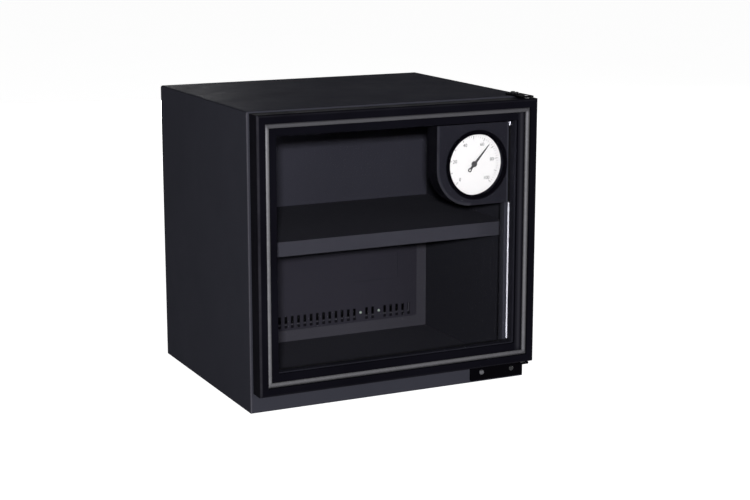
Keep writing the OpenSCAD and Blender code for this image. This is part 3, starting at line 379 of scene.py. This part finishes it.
def housing_material():
    """Matt plate of the hygrometer: dark ring round the dial, partly the bezel's own black and partly
    painted shade; painted highlight on its edge at the left and lower left; painted shade on its sides.
    """
    m = Mat("hygrometer_plate")
    plate = m.ramp(m.noise(14, 3), (0.0155, 0.0155, 0.0215), (0.0190, 0.0190, 0.0255), 0.35, 0.7)
    x, y, z = m.places()

    def from_point(px, pz):
        dx, dz = m.math("SUBTRACT", x, px), m.math("SUBTRACT", z, pz)
        return m.math("SQRT", m.math("ADD", m.times(dx, dx), m.times(dz, dz)))

    # how far in from the outline: straight at the left, an arc in the lower left corner
    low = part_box("hygrometer_housing")[0]
    arc_x, arc_z = low[0] + PLATE_CORNER_R, low[2] + PLATE_CORNER_R
    soft = 0.1 * MM
    corner = m.times(m.step(x, arc_x + soft, arc_x - soft), m.step(z, arc_z + soft, arc_z - soft))
    straight = m.math("SUBTRACT", x, low[0])
    arc = m.math("SUBTRACT", PLATE_CORNER_R, from_point(arc_x, arc_z))
    elsewhere = m.math("SUBTRACT", 1.0, corner)
    inset = m.math("ADD", m.times(corner, arc), m.times(elsewhere, straight))

    face = m.step(y, *(low[1] + depth for depth in PLATE_FACE_DEPTH))
    patchy = m.ramp(m.noise(40, 4, 0.7), 0.5, 1.0)
    # painted highlight along the plate's left and lower left edge
    painted_highlight = m.times(m.step(inset, *PLATE_HIGHLIGHT_INSET), face, patchy)
    plate = m.mix(painted_highlight, plate, (0.034, 0.034, 0.043))
    # painted shade on the plate's sides, behind its front
    plate = m.mix(m.math("SUBTRACT", 1.0, face), plate, (0.0060, 0.0058, 0.0085))
    # dark ring round the dial: the bezel's black and painted shade of its side wall
    ring = m.step(from_point(dial_c.x, dial_c.z), *PLATE_RING_R)
    m.colour(m.mix(ring, plate, (0.0022, 0.0020, 0.0034)))
    m.rough(m.ramp(m.noise(45, 4, 0.6), 0.4, 0.55, 0.35, 0.7))
    m.bump(m.noise(2200, 2), 0.2, MOULDED_DEPTH)
    m.set(Specular_IOR_Level=0.001)
    return m.mat


def hinge_screw_material():
    """Dull steel under the door, with painted shade making it darker at the hinge side, and blackened on
    the top plate.
    """
    m = Mat("hinge_screw_steel")
    x, y, z = m.places()
    fine = m.noise(500, 3)
    steel = m.ramp(fine, (0.08, 0.08, 0.09), (0.12, 0.12, 0.13))
    shaded_steel = m.ramp(fine, (0.018, 0.018, 0.019), (0.036, 0.036, 0.038))
    black_steel = m.ramp(fine, (0.004, 0.004, 0.005), (0.010, 0.010, 0.012))
    # painted shade on the lower screws at the hinge side
    lower = m.mix(m.step(x, *HINGE_SIDE_X), steel, shaded_steel)
    m.colour(m.mix(m.step(z, *UPPER_SCREWS_Z), lower, black_steel))
    m.rough(m.ramp(m.noise(260, 4), 0.3, 0.48))
    m.bump(fine, 0.12, 0.00005)
    m.set(Metallic=0.8)
    return m.mat


dial_low, dial_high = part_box("hygrometer_dial")
dial_c = Vector(((dial_low[0] + dial_high[0]) / 2, dial_low[1], (dial_low[2] + dial_high[2]) / 2))
LIP_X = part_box("door_stile_right")[0][0]

# near-black plastic, darker than the other black plastic: its own black plus painted shade on the dry
# unit's case
case_black_painted_shade = moulded("case_black_painted_shade", (0.003, 0.003, 0.004), (0.005, 0.005, 0.006), (0.5, 0.62), 0.0005)
ink_black = ink_material()

BY_SLOT = {
    # the edge colour of the body paint is a painted highlight along the wrap's front edges
    "body_paint": powder_coat(
        "body_paint", (0.0355, 0.0360, 0.0465), (0.0395, 0.0400, 0.0520), edge=(0.085, 0.083, 0.1)
    ),
    "inner_paint": powder_coat(
        "inner_paint", (0.041, 0.041, 0.052), (0.046, 0.046, 0.058), (0.55, 0.7)
    ),
    "hinge_black": moulded(
        "hinge_black", (0.0018, 0.0016, 0.0024), (0.0028, 0.0026, 0.0036), (0.35, 0.5), 0.0005
    ),
    "door_frame": door_frame_material(),
    "silver_trim": trim_material(),
    "clear_glass": glass_material("clear_glass", (0.992, 0.990, 0.993), 0.05),
    "clear_window": glass_material("clear_window", (0.995, 0.993, 0.995), 0.06),
    "black_plastic": moulded(
        "black_plastic", (0.016, 0.016, 0.022), (0.019, 0.019, 0.026), (0.4, 0.55)
    ),
    "gasket_rubber": rubber_material("gasket_rubber", (0.008, 0.008, 0.009), 0.4, 0.02),
    "foot_rubber": rubber_material("foot_rubber", (0.010, 0.010, 0.010), 0.6, 0.15),
    "magnet": moulded("magnet", (0.04, 0.035, 0.03), (0.06, 0.05, 0.045), (0.6, 0.7), 0.2),
    "screw_steel": brushed(
        "screw_steel", (0.30, 0.30, 0.32), (0.46, 0.46, 0.48), (0.22, 0.36), (1, 1, 1), 500
    ),
    "white_plastic": moulded("white_plastic", (0.62, 0.62, 0.58), (0.7, 0.7, 0.66), (0.4, 0.5), 0.3),
    "dial_white": dial_material(),
    "needle_black": moulded(
        "needle_black", (0.070, 0.070, 0.072), (0.095, 0.095, 0.097), (0.4, 0.5), 0.05
    ),
    "brass": brushed("brass", (0.42, 0.30, 0.12), (0.55, 0.40, 0.17), (0.25, 0.4), (1, 30, 1)),
    "lamp": lamp_material(),
    "granules": moulded("granules", (0.5, 0.45, 0.34), (0.66, 0.6, 0.46), (0.7, 0.8), 0.2, 600, 0.8),
    "heater_alloy": brushed("heater_alloy", (0.4, 0.4, 0.4), (0.52, 0.52, 0.52), (0.35, 0.5), (40, 1, 1)),
    "board": moulded("board", (0.01, 0.07, 0.03), (0.015, 0.1, 0.045), (0.3, 0.45), 0.4),
    "wire_red": moulded("wire_red", (0.3, 0.02, 0.02), (0.36, 0.03, 0.03), (0.35, 0.45), 0.3),
}
# Pieces whose look differs from the rest of their slot.
BY_NODE = {
    "inner_back_panel": wall_material(),
    "dry_unit_cover": powder_coat("cover_paint", (0.027, 0.026, 0.035), (0.031, 0.030, 0.040), (0.5, 0.65)),
    "dry_unit_case": case_black_painted_shade,
    "outer_shutter": case_black_painted_shade,
    "hinge_screws": hinge_screw_material(),
    "hygrometer_housing": housing_material(),
}
slot_of = {s["node"]: s["material_slot"] for s in frame["record"]["subparts"]}
for name, obj in nodes.items():
    obj.data.materials.clear()
    obj.data.materials.append(BY_NODE.get(name) or BY_SLOT[slot_of[name]])


# Edges of the CAD pieces -----------------------------------------------------

# Widths in mm.
BEVELS = {
    "outer_shell": 0.25,
    "front_frame": 0.4,
    "shelf": 0.35,
    "dry_unit_cover": 0.25,
    "hygrometer_housing": 0.5,
    "door_stile_left": 0.35,
    "door_stile_right": 0.35,
    "door_rail_top": 0.35,
    "door_rail_bottom": 0.35,
    "hinge_plate_top": 0.3,
    "hinge_plate_bottom": 0.3,
    "back_panel": 0.2,
    "rear_vent_grille": 0.25,
    "circuit_board": 0.15,
}
BEVEL_FROM = math.radians(35)
for name, width in BEVELS.items():
    bevel = nodes[name].modifiers.new("edges", "BEVEL")
    bevel.width = width * MM
    bevel.segments = 2
    bevel.limit_method = "ANGLE"
    bevel.angle_limit = BEVEL_FROM
    bevel.harden_normals = False


# The dial: scale marks and plain numbers ---------------------------------------

INK = 0.06 * MM
SCALE_R = 30.6 * MM
SWEEP = 135
LONG_MARK, LONG_MARK_W = 3.6 * MM, 0.55 * MM
SHORT_MARK, SHORT_MARK_W = 1.8 * MM, 0.28 * MM
NUMBER_SIZE = 5.2 * MM
NUMBER_INSET = 7.4 * MM


def mesh_piece(name, bm, material, body):
    mesh = bpy.data.meshes.new(name)
    bm.to_mesh(mesh)
    bm.free()
    obj = bpy.data.objects.new(name, mesh)
    scene.collection.objects.link(obj)
    mesh.materials.append(material)
    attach(obj, body)
    return obj


def dial_angle(value):
    """Clockwise from straight up, in radians, for 0 to 100."""
    return math.radians(-SWEEP + 2 * SWEEP * value / 100)


def dial_point(r, a, lift=0.0):
    """A place on the dial, or lift in front of it."""
    return Vector((dial_c.x + r * math.sin(a), dial_c.y - lift, dial_c.z + r * math.cos(a)))


def add_bar(bm, r0, r1, a, width):
    """A printed mark from radius r0 to r1."""
    side = Vector((math.cos(a), 0, -math.sin(a))) * width / 2
    inner, outer = dial_point(r0, a), dial_point(r1, a)
    ends = [inner - side, inner + side, outer + side, outer - side]
    back = [bm.verts.new(p) for p in ends]
    front = [bm.verts.new(p - Vector((0, INK, 0))) for p in ends]
    bm.faces.new(front)
    bm.faces.new(list(reversed(back)))
    for i in range(4):
        j = (i + 1) % 4
        bm.faces.new((front[i], back[i], back[j], front[j]))


bm = bmesh.new()
for v in range(0, 101, 2):
    if v % 10 == 0:
        add_bar(bm, SCALE_R - LONG_MARK, SCALE_R, dial_angle(v), LONG_MARK_W)
    else:
        add_bar(bm, SCALE_R - SHORT_MARK, SCALE_R, dial_angle(v), SHORT_MARK_W)
bmesh.ops.recalc_face_normals(bm, faces=bm.faces)
mesh_piece("dial_marks", bm, ink_black, "cabinet")

UPRIGHT = Matrix.Rotation(math.pi / 2, 4, "X")
for v in range(0, 101, 20):
    curve = bpy.data.curves.new(f"dial_number_{v}", "FONT")
    curve.body = str(v)
    curve.size = NUMBER_SIZE
    curve.align_x = "CENTER"
    curve.align_y = "CENTER"
    curve.extrude = INK / 2
    obj = bpy.data.objects.new(f"dial_number_{v}", curve)
    scene.collection.objects.link(obj)
    middle = dial_point(SCALE_R - NUMBER_INSET, dial_angle(v), INK / 2)
    obj.matrix_world = Matrix.Translation(middle) @ UPRIGHT
    curve.materials.append(ink_black)
    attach(obj, "cabinet")


# Stage -----------------------------------------------------------------------

# The camera, fitted to the photo: metres, degrees and mm.
EYE = Vector((-0.789, -1.695, 0.5375))
YAW = 26.02
PITCH = -12.03
LENS = 80.74
SENSOR_WIDTH = 36
FAR_CLIP = 60

cam = bpy.data.cameras.new("camera")
cam.sensor_width = SENSOR_WIDTH
cam.lens = LENS
cam.clip_end = FAR_CLIP
camera = bpy.data.objects.new("camera", cam)
camera.location = EYE
camera.rotation_euler = (math.radians(90 + PITCH), 0, math.radians(-YAW))
scene.collection.objects.link(camera)
scene.camera = camera

WHITE = (1, 1, 1, 1)
FLOOR_GLOW = 0.95
FLOOR_HALF_SIZE = 12
WORLD_LIT = 0.045
WORLD_SEEN = 1.0


def seen_rays(holder):
    """1 on camera, glossy and transmission rays."""
    path = holder.node("ShaderNodeLightPath").outputs
    seen = holder.math("MAXIMUM", path["Is Camera Ray"], path["Is Glossy Ray"])
    return holder.math("MAXIMUM", seen, path["Is Transmission Ray"])


def floor_material():
    """Pale floor: it shows the object's shadow, and looks white to the camera and in reflections."""
    m = Mat("floor_white")
    m.colour(m.ramp(m.noise(3, 2), (0.48, 0.48, 0.48), (0.52, 0.52, 0.52)))
    m.set(Roughness=0.9, Specular_IOR_Level=0.0)
    glow = m.node("ShaderNodeEmission")
    glow.inputs["Color"].default_value = WHITE
    level = m.node("ShaderNodeMapRange")
    level.inputs["To Max"].default_value = FLOOR_GLOW
    m.link(seen_rays(m), level.inputs["Value"])
    m.link(level.outputs[0], glow.inputs["Strength"])
    both = m.node("ShaderNodeAddShader")
    m.link(m.bsdf.outputs[0], both.inputs[0])
    m.link(glow.outputs[0], both.inputs[1])
    m.link(both.outputs[0], m.out.inputs[0])
    return m.mat


bm = bmesh.new()
bmesh.ops.create_grid(bm, x_segments=8, y_segments=8, size=FLOOR_HALF_SIZE)
floor_mesh = bpy.data.meshes.new("floor")
bm.to_mesh(floor_mesh)
bm.free()
floor = bpy.data.objects.new("floor", floor_mesh)
scene.collection.objects.link(floor)
floor_mesh.materials.append(floor_material())


class WorldTree(Mat):
    """The node tree of a new world, empty."""

    def __init__(self):
        world = bpy.data.worlds.new("studio")
        world.use_nodes = True
        scene.world = world
        self.nt = world.node_tree
        self.nt.nodes.clear()


world = WorldTree()
background = world.node("ShaderNodeBackground")
world_out = world.node("ShaderNodeOutputWorld")
strength = world.node("ShaderNodeMapRange")
strength.inputs["To Min"].default_value = WORLD_LIT
strength.inputs["To Max"].default_value = WORLD_SEEN
world.link(seen_rays(world), strength.inputs["Value"])
world.link(strength.outputs[0], background.inputs["Strength"])
background.inputs["Color"].default_value = WHITE
world.link(background.outputs[0], world_out.inputs[0])

MIDDLE = Vector((0, 0, 0.16))
LAMP_DISTANCE = 2.6
# The two strips inside the gasket.
STRIP_X, STRIP_Y = 0.1390, -0.1236
STRIP_WIDTH = 3 * MM
STRIP_SPREAD = 20


def area(name, where, aim, width, height, power, spread=180):
    data = bpy.data.lights.new(name, "AREA")
    data.shape = "RECTANGLE"
    data.size = width
    data.size_y = height
    data.energy = power
    data.spread = math.radians(spread)
    obj = bpy.data.objects.new(name, data)
    scene.collection.objects.link(obj)
    obj.location = where
    obj.rotation_euler = (Vector(aim) - Vector(where)).to_track_quat("-Z", "Y").to_euler()
    return obj


def around(azimuth, elevation, distance):
    """A place seen from the object: azimuth 0 is in front, positive to the right."""
    a, e = math.radians(azimuth), math.radians(elevation)
    away = Vector((math.sin(a) * math.cos(e), -math.cos(a) * math.cos(e), math.sin(e)))
    return MIDDLE + distance * away


area("key", around(-25, 12.9, LAMP_DISTANCE), MIDDLE, 0.1, 0.08, 61)
area("front_fill", around(12, 12, LAMP_DISTANCE), MIDDLE, 0.6, 0.6, 7)
area("right_fill", around(97, 3, LAMP_DISTANCE), MIDDLE, 0.5, 0.5, 30)
area("back_fill", around(168, 3, LAMP_DISTANCE), MIDDLE, 0.5, 0.5, 34)

# Narrow lights just inside the gasket's right side, which they face: the low one makes the
# pale line there under the hygrometer, the high one the pale dot in the corner over it.
for name, z0, z1, power in (
    ("edge_light_low", 0.0490, 0.2030, 0.12),
    ("edge_light_high", 0.2885, 0.2925, 0.004),
):
    strip = area(name, MIDDLE, MIDDLE + Vector((1, 0, 0)), z1 - z0, STRIP_WIDTH, power, STRIP_SPREAD)
    strip.location = (STRIP_X, STRIP_Y, (z0 + z1) / 2)
    strip.rotation_euler = Matrix(((0, 0, -1), (0, 1, 0), (1, 0, 0))).to_euler()
    strip.visible_camera = False
